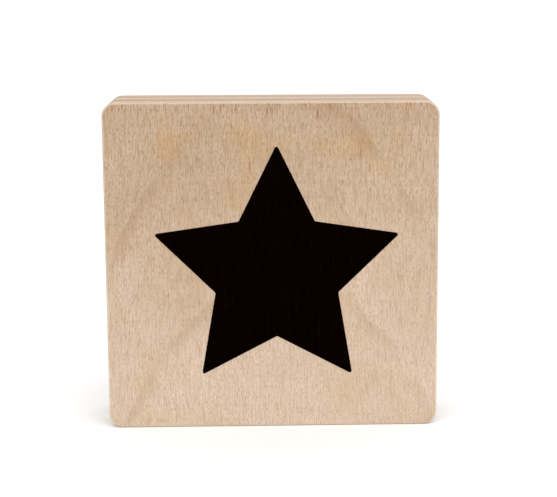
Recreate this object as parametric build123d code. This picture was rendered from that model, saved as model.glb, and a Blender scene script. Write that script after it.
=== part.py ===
from build123d import *

# A wood-mounted rubber stamp with a five-pointed star.
#
# A nearly square plywood block is the handle. Its front face carries the printed index
# star, and its back face carries the printing stack: mounting film, foam cushion,
# bonding film and a moulded rubber die with the same star in relief. Every node is one
# separate physical piece.
#
# The block stands on its edge, with +Z up and +X to the right of someone who looks at
# the printed face. That face looks along -Y and the die looks along +Y. The origin is
# the centre of the edge that the block stands on.

import os
from math import cos, pi, radians, sin, tan

# The block, in millimetres like every length here
BLOCK_WIDTH = 70.0
BLOCK_HEIGHT = 69.5
BLOCK_DEPTH = 18.0
CORNER_RADIUS = 3.0
ARRIS_RADIUS = 0.55
GLUE_LINE = 0.1
PLY_NAMES = ["front_ply", "front_cross_ply", "core_ply", "back_cross_ply", "back_ply"]

# The star, which the print and the die share, placed and turned as the front shows it
STAR_POINTS = 5
STAR_RADIUS = 27.2
NOTCH_REACH = 0.5
STAR_RIGHT_OF_MIDDLE = 0.95
STAR_BELOW_MIDDLE = 1.3
STAR_CLOCKWISE_DEGREES = 0.2
TIP_RADIUS = 0.4
NOTCH_RADIUS = 0.5
INK_FILM = 0.05

# The printing stack, from the block outwards
MOUNTING_FILM = 0.15
CUSHION_DEPTH = 3.0
BONDING_FILM = 0.15
DIE_FLOOR = 1.1
DIE_RELIEF = 1.2
RELIEF_DRAFT_DEGREES = 12.0
TRIM_MARGIN = 2.2

# Worked out from the driving dimensions
FRONT_Y = -BLOCK_DEPTH / 2
BACK_Y = BLOCK_DEPTH / 2
GLUE_LINE_COUNT = len(PLY_NAMES) - 1
PLY_DEPTH = (BLOCK_DEPTH - GLUE_LINE_COUNT * GLUE_LINE) / len(PLY_NAMES)
STAR_CENTRE_Z = BLOCK_HEIGHT / 2 - STAR_BELOW_MIDDLE
RELIEF_SPREAD = DIE_RELIEF * tan(radians(RELIEF_DRAFT_DEGREES))


def sheet(outline, y, depth, draft_degrees=0.0):
    """Extrudes an outline from y towards +Y. The outline is drawn as the back shows it."""
    seen_from_back = Plane(origin=(0, y, 0), x_dir=(-1, 0, 0), z_dir=(0, 1, 0))
    return extrude(seen_from_back * outline, amount=depth, taper=draft_degrees)


def block_sheet(y, depth):
    """A sheet with the block's own outline, from which the plies and glue lines are made."""
    outline = RectangleRounded(BLOCK_WIDTH, BLOCK_HEIGHT, CORNER_RADIUS)
    return sheet(Pos(0, BLOCK_HEIGHT / 2) * outline, y, depth)


def star_outline(margin=0.0):
    """The star with its tips and notches softened, grown by a margin on every side."""
    corners = []
    for step in range(2 * STAR_POINTS):
        reach = STAR_RADIUS if step % 2 == 0 else STAR_RADIUS * NOTCH_REACH
        turn = pi / 2 + step * pi / STAR_POINTS
        corners.append((reach * cos(turn), reach * sin(turn)))
    star = Polygon(*corners, align=None)
    star = fillet(star.vertices().sort_by_distance((0, 0))[STAR_POINTS:], TIP_RADIUS)
    star = fillet(star.vertices().sort_by_distance((0, 0))[:STAR_POINTS], NOTCH_RADIUS)
    if margin:
        star = offset(star, amount=margin)
    return Pos(-STAR_RIGHT_OF_MIDDLE, STAR_CENTRE_Z) * Rot(0, 0, STAR_CLOCKWISE_DEGREES) * star


def ply(index):
    """One veneer of the block. The two outer ones have their outside arris sanded round."""
    veneer = block_sheet(FRONT_Y + index * (PLY_DEPTH + GLUE_LINE), PLY_DEPTH)
    faces_by_depth = veneer.faces().sort_by(Axis.Y)
    if index == 0:
        veneer = fillet(faces_by_depth[0].edges(), ARRIS_RADIUS)
    if index == len(PLY_NAMES) - 1:
        veneer = fillet(faces_by_depth[-1].edges(), ARRIS_RADIUS)
    return veneer


def glue_line(index):
    """The cured resin between two plies, sanded flush with them all round the block."""
    return block_sheet(FRONT_Y + PLY_DEPTH + index * (PLY_DEPTH + GLUE_LINE), GLUE_LINE)


def printed_star():
    """The index print: a thin film of ink that stands on the front ply."""
    return sheet(star_outline(), FRONT_Y - INK_FILM, INK_FILM)


def trimmed_layer(y, depth):
    """A layer of the printing stack, cut to the outline that the stack is trimmed to."""
    return sheet(star_outline(TRIM_MARGIN), y, depth)


def rubber_die(y):
    """A rubber floor with the star standing on it, whose walls lean out to the floor."""
    relief = sheet(star_outline(RELIEF_SPREAD), y + DIE_FLOOR, DIE_RELIEF, RELIEF_DRAFT_DEGREES)
    return trimmed_layer(y, DIE_FLOOR) + relief


def stamp_pieces():
    """Every node of the stamp by name, from the front to the back."""
    pieces = {"printed_star": printed_star()}
    for index, name in enumerate(PLY_NAMES):
        pieces[name] = ply(index)
    for index in range(GLUE_LINE_COUNT):
        pieces[f"glue_line_{index + 1}"] = glue_line(index)
    cushion_y = BACK_Y + MOUNTING_FILM
    bonding_y = cushion_y + CUSHION_DEPTH
    pieces["mounting_film"] = trimmed_layer(BACK_Y, MOUNTING_FILM)
    pieces["foam_cushion"] = trimmed_layer(cushion_y, CUSHION_DEPTH)
    pieces["bonding_film"] = trimmed_layer(bonding_y, BONDING_FILM)
    pieces["rubber_die"] = rubber_die(bonding_y + BONDING_FILM)
    return pieces


os.makedirs("parts", exist_ok=True)
for name, piece in stamp_pieces().items():
    export_step(piece, f"parts/{name}.step")
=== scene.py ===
from math import pi, radians

import bmesh
import bpy
from mathutils import Matrix, Vector, noise


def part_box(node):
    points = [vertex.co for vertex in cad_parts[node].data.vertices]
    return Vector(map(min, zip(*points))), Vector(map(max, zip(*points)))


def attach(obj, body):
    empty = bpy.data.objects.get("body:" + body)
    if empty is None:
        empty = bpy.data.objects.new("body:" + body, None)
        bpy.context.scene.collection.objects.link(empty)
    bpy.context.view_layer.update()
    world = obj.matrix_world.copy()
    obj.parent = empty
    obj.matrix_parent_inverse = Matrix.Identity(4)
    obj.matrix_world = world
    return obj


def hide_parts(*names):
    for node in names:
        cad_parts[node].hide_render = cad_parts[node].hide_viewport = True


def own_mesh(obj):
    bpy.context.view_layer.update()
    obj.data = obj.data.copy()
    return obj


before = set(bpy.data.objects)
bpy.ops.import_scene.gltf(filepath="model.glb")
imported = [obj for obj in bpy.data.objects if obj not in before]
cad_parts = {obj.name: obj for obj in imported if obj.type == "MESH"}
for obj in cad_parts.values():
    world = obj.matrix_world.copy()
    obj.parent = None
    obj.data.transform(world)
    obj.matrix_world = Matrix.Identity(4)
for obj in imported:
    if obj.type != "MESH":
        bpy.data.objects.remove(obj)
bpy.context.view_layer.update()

# --- Plywood block ---------------------------------------------------------------------
# Five birch veneers pressed together with their fibres crossed, sawn square, rounded at
# the corners and sanded. The CAD plies have the true shape, so they only take a finish.
MM = 0.001
block_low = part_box("front_ply")[0]
block_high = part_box("back_ply")[1]
block_height = block_high.z - block_low.z
block_middle = (block_low + block_high) / 2


def linear(hex_colour):
    """An sRGB hex colour as the linear RGBA that a shader takes."""
    channels = [int(hex_colour[i:i + 2], 16) / 255 for i in (1, 3, 5)]
    return [c / 12.92 if c <= 0.04045 else ((c + 0.055) / 1.055) ** 2.4 for c in channels] + [1.0]


def new_material(name):
    """A material with nothing but its Principled shader."""
    material = bpy.data.materials.new(name)
    material.use_nodes = True
    return material


def plug(material, node, inputs):
    """Links each input that is given as a socket, and sets any other."""
    for key, value in inputs.items():
        if isinstance(value, bpy.types.NodeSocket):
            material.node_tree.links.new(value, node.inputs[key])
        else:
            node.inputs[key].default_value = value


def add(material, kind, inputs, **settings):
    """Adds a node with its settings and links."""
    node = material.node_tree.nodes.new(kind)
    for setting, value in settings.items():
        setattr(node, setting, value)
    plug(material, node, inputs)
    return node


def dress(piece, material):
    """Gives a piece one material."""
    piece.data.materials.clear()
    piece.data.materials.append(material)


# Birch fibres are too fine to draw one by one, so the streaks stand for bundles of them. Its
# vessels are brown dashes, which show most where sanding cuts them open at the head of the
# face. A grain is its width and length in mm, its seed step and its detail.
GRAINS = {
    "bundles": (0.35, 9.0, 1.0, 4.0),
    "fibre": (0.12, 0.8, 2.0, 0.0),
    "vessels": (0.22, 1.7, 3.0, 1.0),
    "long_vessels": (0.3, 3.2, 4.0, 1.0),
    "end_pores": (0.3, 0.3, 5.0, 1.0),
    "strands": (0.14, 3.4, 10.0, 1.0),
}
# A soft patch is its size in mm, its seed step and its detail.
PATCHES = {
    "bend": (20.0, 0.0, 2.0),
    "wander": (24.0, 6.0, 4.0),
    "ring_gaps": (14.0, 7.0, 2.0),
    # This patch makes the edge of the painted shade wander.
    "painted_top_shade": (22.0, 8.0, 2.0),
    "honey": (10.0, 9.0, 2.0),
    "shade": (17.0, 11.0, 2.0),
}
# A dash is how much the open end bares it, the noise at which it starts and is whole, and
# its strength.
DASHES = {
    "vessels": (0.04, 0.61, 0.68, 0.54),
    "long_vessels": (0.07, 0.67, 0.73, 0.74),
}
BEND_MM = 2.5
END_RING_MM = 0.5
END_RING_LENGTH_MM = 9.0
OPEN_END_MM = 3.0
ARCH_SPACING_MM = 39.0
ARCH_CURVE_PER_MM = 0.0304
ARCH_WANDER_MM = 18.0
ARCH_RAGGED_MM = 4.0
# Painted shade darkens each veneer towards the top and left; its edge wanders by this many mm.
PAINTED_SHADE_WANDER_MM = 45.0
PAINTED_SHADE_RISE = (-0.18, 0, 1)
MARK_RAGGED = 1.5
DASH_DEPTH = 0.7
SANDED_RELIEF = 0.05 * MM
# The pale tone of the sawn edges, also used for the painted highlight along the rounded arrises.
SAWN_AND_HIGHLIGHT_WHITE = "#e8d9c6"
ALONG_Z, ALONG_X = (0, 0, 1), (1, 0, 0)


def birch_veneer(name, fibres, seed, palette, arch_top, marks=()):
    """Rotary-cut birch, sanded and sealed thinly: matt, with brown vessel dashes, the soft
    arches of its growth rings on the face, and darker, finer end grain. Painted shade darkens
    it towards the top and left, painted light brightens it towards the bottom, and a painted
    highlight whitens its rounded arrises."""
    foot, head, ring, honey, vessel = [linear(c) for c in palette]
    white = linear(SAWN_AND_HIGHLIGHT_WHITE)
    half_height = block_height / MM / 2
    half_wander = PAINTED_SHADE_WANDER_MM / 2
    material = new_material(name)
    where = add(material, "ShaderNodeTexCoord", {}).outputs["Object"]
    facing = add(material, "ShaderNodeNewGeometry", {}).outputs["Normal"]
    centred = add(material, "ShaderNodeVectorMath", {0: where, 1: block_middle}, operation="SUBTRACT")
    turn_to_z = (0, 0, 0) if fibres == ALONG_Z else (0, pi / 2, 0)
    in_mm = add(material, "ShaderNodeMapping",
                {"Vector": centred.outputs[0], "Rotation": turn_to_z, "Scale": (1 / MM,) * 3}).outputs[0]

    patches = {}
    for patch, (size, draw, detail) in PATCHES.items():
        patches[patch] = add(material, "ShaderNodeTexNoise",
                             {"Vector": in_mm, "W": seed + draw, "Scale": 1 / size, "Detail": detail},
                             noise_dimensions="4D")
    bent = add(material, "ShaderNodeVectorMath",
               {0: patches["bend"].outputs["Color"], 1: (BEND_MM, 0, 0), 2: in_mm},
               operation="MULTIPLY_ADD").outputs[0]
    grains = {}
    for grain, (width, length, draw, detail) in GRAINS.items():
        stretch = add(material, "ShaderNodeMapping",
                      {"Vector": bent, "Scale": (1 / width, 1 / width, 1 / length)})
        grains[grain] = add(material, "ShaderNodeTexNoise",
                            {"Vector": stretch.outputs[0], "W": seed + draw, "Scale": 1.0, "Detail": detail},
                            noise_dimensions="4D").outputs["Fac"]
    flattened = add(material, "ShaderNodeMapping",
                    {"Vector": in_mm,
                     "Scale": (1 / END_RING_LENGTH_MM, 1 / END_RING_MM, 1 / END_RING_LENGTH_MM)})
    end_rings = add(material, "ShaderNodeTexNoise",
                    {"Vector": flattened.outputs[0], "W": seed, "Scale": 1.0},
                    noise_dimensions="4D").outputs["Fac"]

    # How squarely the fibres are cut, how flat the surface lies, and how far up it is. The height, tilted to
    # rise towards the left, places the painted shade.
    along = add(material, "ShaderNodeVectorMath", {0: facing, 1: fibres}, operation="DOT_PRODUCT")
    cut = add(material, "ShaderNodeMath", {0: along.outputs["Value"]}, operation="ABSOLUTE").outputs[0]
    outwards = add(material, "ShaderNodeSeparateXYZ", {0: facing})
    flat = add(material, "ShaderNodeMath", {0: outwards.outputs["Y"]}, operation="ABSOLUTE").outputs[0]
    height = add(material, "ShaderNodeSeparateXYZ", {0: in_mm}).outputs["Z"]
    slope = add(material, "ShaderNodeVectorMath", {0: in_mm, 1: PAINTED_SHADE_RISE},
                operation="DOT_PRODUCT").outputs["Value"]
    risen = add(material, "ShaderNodeMath",
                {0: patches["painted_top_shade"].outputs["Fac"], 1: PAINTED_SHADE_WANDER_MM, 2: slope},
                operation="MULTIPLY_ADD").outputs[0]

    # The growth rings are parabolas that wander, one inside another
    place = add(material, "ShaderNodeSeparateXYZ", {0: bent})
    sideways = add(material, "ShaderNodeMath", {0: place.outputs["X"], 1: arch_top[0]},
                   operation="SUBTRACT").outputs[0]
    squared = add(material, "ShaderNodeMath", {0: sideways, 1: sideways},
                  operation="MULTIPLY").outputs[0]
    top = arch_top[1] + (ARCH_WANDER_MM + ARCH_RAGGED_MM) / 2
    above = add(material, "ShaderNodeMath", {0: place.outputs["Z"], 1: top}, operation="SUBTRACT").outputs[0]
    arch = add(material, "ShaderNodeMath", {0: squared, 1: ARCH_CURVE_PER_MM, 2: above},
               operation="MULTIPLY_ADD").outputs[0]
    wanders = [(patches["wander"].outputs["Fac"], ARCH_WANDER_MM), (grains["bundles"], ARCH_RAGGED_MM)]
    for noisy, reach in wanders:
        arch = add(material, "ShaderNodeMath", {0: noisy, 1: reach, 2: arch},
                   operation="MULTIPLY_ADD").outputs[0]
    passed = add(material, "ShaderNodeMath", {0: arch, 1: ARCH_SPACING_MM}, operation="DIVIDE").outputs[0]
    turn = add(material, "ShaderNodeMath", {0: passed}, operation="FRACT").outputs[0]

    # A share goes smoothly from low to high as its value goes from start to end
    fades = {
        "end_grain": (cut, 0.45, 0.9, 0.0, 1.0),
        "end_rings": (end_rings, 0.35, 0.65, 0.0, 0.5),
        "end_pores": (grains["end_pores"], 0.52, 0.68, 0.0, 0.7),
        "on_face": (flat, 0.5, 0.9, 0.0, 1.0),
        "ring_starts": (turn, 0.8, 0.97, 0.0, 1.0),
        "ring_ends": (turn, 1.0, 0.96, 0.0, 1.0),
        "ring_gaps": (patches["ring_gaps"].outputs["Fac"], 0.38, 0.6, 0.05, 0.5),
        # Painted shade: the head colour darkens the veneer towards the top and left.
        "painted_top_shade": (risen, half_wander - half_height, half_wander + half_height, 0.0, 1.0),
        "honey": (patches["honey"].outputs["Fac"], 0.48, 0.7, 0.0, 0.5),
        "shade": (patches["shade"].outputs["Fac"], 0.38, 0.66, 0.0, 0.22),
        "bundles": (grains["bundles"], 0.32, 0.7, 0.0, 0.16),
        "strands": (grains["strands"], 0.46, 0.66, 0.0, 0.62),
        "fibre": (grains["fibre"], 0.44, 0.66, 0.0, 0.6),
        "open_end": (height, half_height - OPEN_END_MM, half_height, 0.0, 1.0),
        # Painted light: the foot colour again, lighter towards the bottom and right.
        "foot": (slope, half_height, -half_height, 0.0, 0.35),
        "sawn": (flat, 0.9, 0.3, 0.0, 0.22),
        # Painted highlight: white along the rounded arrises, between the face and the edges.
        "painted_highlight_starts": (flat, 0.1, 0.35, 0.0, 0.3),
        "painted_highlight_ends": (flat, 0.99, 0.93, 0.0, 1.0),
        "roughness": (grains["bundles"], 0.3, 0.7, 0.5, 0.62),
    }
    for index, (middle_x, middle_z, width, length, strength) in enumerate(marks):
        near = add(material, "ShaderNodeMapping",
                   {"Vector": in_mm, "Location": (-2 * middle_x / width, 0, -2 * middle_z / length),
                    "Scale": (2 / width, 0, 2 / length)})
        reach = add(material, "ShaderNodeVectorMath", {0: near.outputs[0]},
                    operation="LENGTH").outputs["Value"]
        ragged = add(material, "ShaderNodeMath", {0: grains["fibre"], 1: MARK_RAGGED, 2: reach},
                     operation="MULTIPLY_ADD").outputs[0]
        fades[f"mark_{index}"] = (ragged, 1.1 + MARK_RAGGED / 2, 0.2 + MARK_RAGGED / 2, 0.0, strength)
    shares = {}
    for share, (value, start, end, low, high) in fades.items():
        shares[share] = add(material, "ShaderNodeMapRange",
                            {"Value": value, "From Min": start, "From Max": end,
                             "To Min": low, "To Max": high},
                            interpolation_type="SMOOTHSTEP").outputs[0]
    shares["long_grain"] = add(material, "ShaderNodeMapRange",
                               {"Value": shares["end_grain"], "To Min": 1.0, "To Max": 0.25},
                               interpolation_type="SMOOTHSTEP").outputs[0]
    dashes = []
    for grain, (bared, start, end, strength) in DASHES.items():
        cut_open = add(material, "ShaderNodeMath", {0: shares["open_end"], 1: bared, 2: grains[grain]},
                       operation="MULTIPLY_ADD").outputs[0]
        dashes.append(add(material, "ShaderNodeMapRange",
                          {"Value": cut_open, "From Min": start, "From Max": end},
                          interpolation_type="SMOOTHSTEP").outputs[0])
        shares[grain] = add(material, "ShaderNodeMath", {0: dashes[-1], 1: strength},
                            operation="MULTIPLY").outputs[0]

    # The colours are laid over the foot's in turn, each by the product of its shares
    layers = [
        # The head colour here is painted shade towards the top and left.
        (head, ["painted_top_shade"]),
        (honey, ["honey"]),
        (ring, ["shade"]),
        (ring, ["ring_starts", "ring_ends", "on_face", "ring_gaps"]),
        (ring, ["bundles"]),
        (ring, ["strands"]),
        (ring, ["fibre"]),
        (ring, ["end_grain", "end_rings"]),
        (vessel, ["end_grain", "end_pores"]),
        (vessel, ["vessels", "long_grain"]),
        (vessel, ["long_vessels", "long_grain"]),
    ]
    layers += [(vessel, [f"mark_{index}", "on_face"]) for index in range(len(marks))]
    # Last come painted light towards the bottom, the sawn edges' own pale tone, and a painted highlight on
    # the arrises.
    layers += [(foot, ["foot"]), (white, ["sawn"]), (white, ["painted_highlight_starts", "painted_highlight_ends"])]
    colour = foot
    for tint, names in layers:
        share = shares[names[0]]
        for other in names[1:]:
            share = add(material, "ShaderNodeMath", {0: share, 1: shares[other]},
                        operation="MULTIPLY").outputs[0]
        colour = add(material, "ShaderNodeMix", {0: share, 6: colour, 7: tint}, data_type="RGBA").outputs[2]

    # The streaks stand up a little and the dashes are furrows
    streaks = add(material, "ShaderNodeMath", {0: grains["bundles"], 1: grains["fibre"]},
                  operation="ADD").outputs[0]
    half_up = add(material, "ShaderNodeMath", {0: streaks, 1: 0.5}, operation="MULTIPLY").outputs[0]
    furrow = add(material, "ShaderNodeMath", {0: dashes[0], 1: dashes[1]}, operation="MAXIMUM").outputs[0]
    relief = add(material, "ShaderNodeMath", {0: furrow, 1: -DASH_DEPTH, 2: half_up},
                 operation="MULTIPLY_ADD").outputs[0]
    sanded = add(material, "ShaderNodeBump",
                 {"Height": relief, "Strength": 0.45, "Distance": SANDED_RELIEF})
    plug(material, material.node_tree.nodes["Principled BSDF"],
         {"Base Color": colour, "Roughness": shares["roughness"], "Specular IOR Level": 0.35,
          "Normal": sanded.outputs[0]})
    return material


# Each veneer's colours are its foot, which also serves as painted light towards the bottom,
# # its head, which is painted shade towards the top and left, its ring wood, its honey patches
# # and its vessels. A mark is its x and z from the middle of the face, its width and its
# # length, all in mm, and its strength.
FACE_COLOURS = ("#d5c2ad", "#bfaa94", "#9d7b58", "#c6a371", "#8d572b")
BACK_COLOURS = ("#d2bea8", "#bda78f", "#987654", "#c09c6b", "#84562f")
CORE_COLOURS = ("#d8c6b4", "#cdb9a4", "#b08f70", "#c8aa86", "#8a5f40")
FRONT_CROSS_COLOURS = ("#a27f5f", "#93704f", "#6e4d32", "#986f45", "#5c3822")
BACK_CROSS_COLOURS = ("#b3906e", "#a37f5c", "#7d5a3b", "#a67c4f", "#6b4228")
front_marks = [
    (-4.6, 21.4, 0.5, 3.4, 0.75),
    (33.3, -8.0, 0.35, 7.5, 0.7),
    (-0.9, 32.8, 0.4, 2.6, 0.8),
    (0.2, 32.9, 0.35, 2.4, 0.75),
    (9.6, 32.2, 0.4, 3.6, 0.85),
    (-15.5, -7.5, 0.4, 2.6, 0.6),
    (18.6, 22.0, 0.5, 13.0, 0.22),
    (-31.5, 2.0, 0.35, 3.0, 0.5),
    (24.0, -20.0, 0.4, 2.4, 0.55),
    (-8.3, 30.0, 0.35, 2.2, 0.55),
]
plies = [
    ("front_ply", ALONG_Z, 11.0, FACE_COLOURS, (3.0, 1.3), front_marks),
    ("front_cross_ply", ALONG_X, 23.0, FRONT_CROSS_COLOURS, (0.0, 0.0), ()),
    ("core_ply", ALONG_Z, 37.0, CORE_COLOURS, (0.0, 0.0), ()),
    ("back_cross_ply", ALONG_X, 41.0, BACK_CROSS_COLOURS, (0.0, 0.0), ()),
    ("back_ply", ALONG_Z, 53.0, BACK_COLOURS, (-6.0, -14.0), ()),
]
for ply, fibres, seed, palette, arch_top, marks in plies:
    dress(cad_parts[ply], birch_veneer(f"birch_{ply}", fibres, seed, palette, arch_top, marks))

# --- Glue lines ------------------------------------------------------------------------
# Cured urea resin between the plies, sanded flush. It is brown, harder than the wood and
# slightly glossier, and its colour varies where it soaked into the veneers.
RESIN_SOAK = 1.667 * MM
resin = new_material("cured_resin")
place = add(resin, "ShaderNodeTexCoord", {}).outputs["Object"]
soak = add(resin, "ShaderNodeTexNoise", {"Vector": place, "Scale": 1 / RESIN_SOAK, "Detail": 3.0})
tint = add(resin, "ShaderNodeMix", {0: soak.outputs["Fac"], 6: linear("#8a6443"), 7: linear("#6a4a30")},
           data_type="RGBA")
plug(resin, resin.node_tree.nodes["Principled BSDF"],
     {"Base Color": tint.outputs[2], "Roughness": 0.42})
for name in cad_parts:
    if name.startswith("glue_line_"):
        dress(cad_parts[name], resin)

# --- Printed star ----------------------------------------------------------------------
# Screen-printed black ink, thin enough to follow the wood's grain, which shows through it
# as faint lighter streaks. It is dull and takes almost no highlight.
INK_GRAIN = 0.4545 * MM
INK_GRAIN_LENGTH = 6.25 * MM
INK_RELIEF = 0.04 * MM
ink = new_material("screen_ink")
place = add(ink, "ShaderNodeTexCoord", {}).outputs["Object"]
stretch = add(ink, "ShaderNodeMapping",
              {"Vector": place, "Scale": (1 / INK_GRAIN, 1 / INK_GRAIN, 1 / INK_GRAIN_LENGTH)})
grain = add(ink, "ShaderNodeTexNoise", {"Vector": stretch.outputs[0], "Scale": 1.0, "Detail": 3.0})
thin = add(ink, "ShaderNodeMapRange", {"Value": grain.outputs["Fac"], "From Min": 0.5, "From Max": 0.8},
           interpolation_type="SMOOTHSTEP")
black = add(ink, "ShaderNodeMix", {0: thin.outputs[0], 6: linear("#060100"), 7: linear("#0c0604")},
            data_type="RGBA")
ridges = add(ink, "ShaderNodeBump",
             {"Height": grain.outputs["Fac"], "Strength": 0.4, "Distance": INK_RELIEF})
plug(ink, ink.node_tree.nodes["Principled BSDF"],
     {"Base Color": black.outputs[2], "Roughness": 0.6, "Specular IOR Level": 0.0,
      "Normal": ridges.outputs[0]})
dress(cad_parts["printed_star"], ink)

# --- Adhesive films --------------------------------------------------------------------
# Two sheets of double-sided film, one each side of the cushion, trimmed with it. Only
# their cut edges show, milky and slightly glossy.
FILM_CLOUD = 1.25 * MM
film = new_material("adhesive_film")
place = add(film, "ShaderNodeTexCoord", {}).outputs["Object"]
cloud = add(film, "ShaderNodeTexNoise", {"Vector": place, "Scale": 1 / FILM_CLOUD, "Detail": 2.0})
milk = add(film, "ShaderNodeMix", {0: cloud.outputs["Fac"], 6: linear("#d9d4c4"), 7: linear("#bcb6a4")},
           data_type="RGBA")
plug(film, film.node_tree.nodes["Principled BSDF"],
     {"Base Color": milk.outputs[2], "Roughness": 0.28})
for name in ("mounting_film", "bonding_film"):
    dress(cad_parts[name], film)

# --- Foam cushion ----------------------------------------------------------------------
# Closed-cell foam, die-cut with the rubber. Its wall pulls in a little half way up and is
# pitted by the cut cells. Pressing leaves 0.7 of its depth, and here a hair less, so that
# its face and the film's never lie in the same place.
FOAM_LEVELS = 16
FOAM_WALL_CUTS = 70
FOAM_WAIST = 0.22 * MM
FOAM_CELL = 0.42 * MM
FOAM_PIT_DEPTH = 0.13 * MM
FOAM_PIT_REACH = 0.6
FOAM_LONG_EDGE = 8 * MM
FOAM_RIM = 0.01 * MM
FOAM_WELD = 0.001 * MM
foam_low, foam_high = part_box("foam_cushion")
foam_depth = foam_high.y - foam_low.y

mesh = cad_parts["foam_cushion"].data.copy()
shape = bmesh.new()
shape.from_mesh(mesh)
bmesh.ops.remove_doubles(shape, verts=shape.verts, dist=FOAM_WELD)
bmesh.ops.dissolve_limit(shape, angle_limit=radians(1), verts=shape.verts, edges=shape.edges)
for level in range(1, FOAM_LEVELS):
    cut_y = foam_low.y + foam_depth * level / FOAM_LEVELS
    everything = shape.verts[:] + shape.edges[:] + shape.faces[:]
    bmesh.ops.bisect_plane(shape, geom=everything, dist=FOAM_WELD,
                           plane_co=(0, cut_y, 0), plane_no=(0, 1, 0))
long_edges = [e for e in shape.edges if e.calc_length() > FOAM_LONG_EDGE]
bmesh.ops.subdivide_edges(shape, edges=long_edges, cuts=FOAM_WALL_CUTS)
shape.normal_update()
wall = [v for v in shape.verts if foam_low.y + FOAM_RIM < v.co.y < foam_high.y - FOAM_RIM]
outwards = {v: Vector((v.normal.x, 0, v.normal.z)).normalized() for v in wall}
for v in wall:
    share = (v.co.y - foam_low.y) / foam_depth
    waist = FOAM_WAIST * 4 * share * (1 - share)
    nearest_cell = noise.voronoi(v.co / FOAM_CELL)[0][0]
    pit = FOAM_PIT_DEPTH * (1 - min(nearest_cell / FOAM_PIT_REACH, 1.0))
    v.co -= outwards[v] * (waist + pit)
shape.to_mesh(mesh)
shape.free()
cushion = bpy.data.objects.new("foam_cushion_cut", mesh)
bpy.context.scene.collection.objects.link(cushion)

foam = new_material("closed_cell_foam")
place = add(foam, "ShaderNodeTexCoord", {}).outputs["Object"]
cells = add(foam, "ShaderNodeTexVoronoi", {"Vector": place, "Scale": 1 / FOAM_CELL})
shade = add(foam, "ShaderNodeMapRange",
            {"Value": cells.outputs["Distance"], "From Min": 0.1, "From Max": 0.6})
grey = add(foam, "ShaderNodeMix", {0: shade.outputs[0], 6: linear("#9b9c98"), 7: linear("#c3c4bf")},
           data_type="RGBA")
plug(foam, foam.node_tree.nodes["Principled BSDF"],
     {"Base Color": grey.outputs[2], "Roughness": 0.85, "Specular IOR Level": 0.2})
dress(cushion, foam)
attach(cushion, "block")
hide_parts("foam_cushion")
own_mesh(cushion)

# --- Rubber die ------------------------------------------------------------------------
# Red rubber vulcanised in a mould, the star standing on a thinner floor. The mould leaves
# a fine matt texture, and the red is paler in patches where the rubber has bloomed.
MOULD_TEXTURE = 0.4545 * MM
RUBBER_BLOOM = 8.333 * MM
MOULD_RELIEF = 0.08 * MM
rubber = new_material("vulcanised_rubber")
place = add(rubber, "ShaderNodeTexCoord", {}).outputs["Object"]
mould = add(rubber, "ShaderNodeTexNoise", {"Vector": place, "Scale": 1 / MOULD_TEXTURE, "Detail": 4.0})
bloom = add(rubber, "ShaderNodeTexNoise", {"Vector": place, "Scale": 1 / RUBBER_BLOOM, "Detail": 3.0})
dusty = add(rubber, "ShaderNodeMapRange",
            {"Value": bloom.outputs["Fac"], "From Min": 0.4, "From Max": 0.75})
red = add(rubber, "ShaderNodeMix", {0: dusty.outputs[0], 6: linear("#84372c"), 7: linear("#8d4438")},
          data_type="RGBA")
skin = add(rubber, "ShaderNodeBump",
           {"Height": mould.outputs["Fac"], "Strength": 0.7, "Distance": MOULD_RELIEF})
plug(rubber, rubber.node_tree.nodes["Principled BSDF"],
     {"Base Color": red.outputs[2], "Roughness": 0.55, "Normal": skin.outputs[0]})
dress(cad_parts["rubber_die"], rubber)

# --- Studio ----------------------------------------------------------------------------
# A white table and white surroundings, with one very soft light from above and in front.
# Together they leave only a faint shadow under the block.
TABLE_SIZE = 60
bpy.ops.mesh.primitive_plane_add(size=TABLE_SIZE)
floor = bpy.context.object
floor.name = "floor"
paper = new_material("white_table")
plug(paper, paper.node_tree.nodes["Principled BSDF"],
     {"Base Color": linear("#f2f2f2"), "Roughness": 0.9, "Specular IOR Level": 0.0})
dress(floor, paper)

world = bpy.data.worlds.new("studio")
bpy.context.scene.world = world
world.use_nodes = True
surroundings = world.node_tree.nodes["Background"]
surroundings.inputs["Color"].default_value = (1, 1, 1, 1)
surroundings.inputs["Strength"].default_value = 1.0

OVERHEAD_STRENGTH = 1.25
OVERHEAD_SPREAD = radians(60)
OVERHEAD_TURN = (radians(32), 0, radians(12))
overhead = bpy.data.lights.new("overhead_softbox", "SUN")
overhead.energy = OVERHEAD_STRENGTH
overhead.angle = OVERHEAD_SPREAD
overhead_place = bpy.data.objects.new("overhead_softbox", overhead)
overhead_place.rotation_euler = OVERHEAD_TURN
bpy.context.scene.collection.objects.link(overhead_place)

# The camera stands about a third of a metre in front, a little to the left and above. Its
# lens is shifted sideways, which frames the block without turning the camera further.
CAMERA_IN_FRONT = 315.4 * MM
CAMERA_TO_LEFT = 1.7 * MM
CAMERA_ABOVE_MIDDLE = 62.6 * MM
CAMERA_LENS = 98.8
CAMERA_SHIFT = -0.058
CAMERA_TURN, CAMERA_TILT, CAMERA_ROLL = radians(-1.78), radians(-10.54), radians(-0.17)
camera = bpy.data.objects.new("camera", bpy.data.cameras.new("camera"))
camera.data.lens = CAMERA_LENS
camera.data.shift_x = CAMERA_SHIFT
camera.data.clip_start = 10 * MM
camera.matrix_world = (
    Matrix.Translation((-CAMERA_TO_LEFT, block_low.y - CAMERA_IN_FRONT,
                        block_middle.z + CAMERA_ABOVE_MIDDLE))
    @ Matrix.Rotation(CAMERA_TURN, 4, "Z")
    @ Matrix.Rotation(pi / 2 + CAMERA_TILT, 4, "X")
    @ Matrix.Rotation(CAMERA_ROLL, 4, "Z")
)
bpy.context.scene.collection.objects.link(camera)
bpy.context.scene.camera = camera
bpy.context.scene.view_settings.view_transform = "Standard"
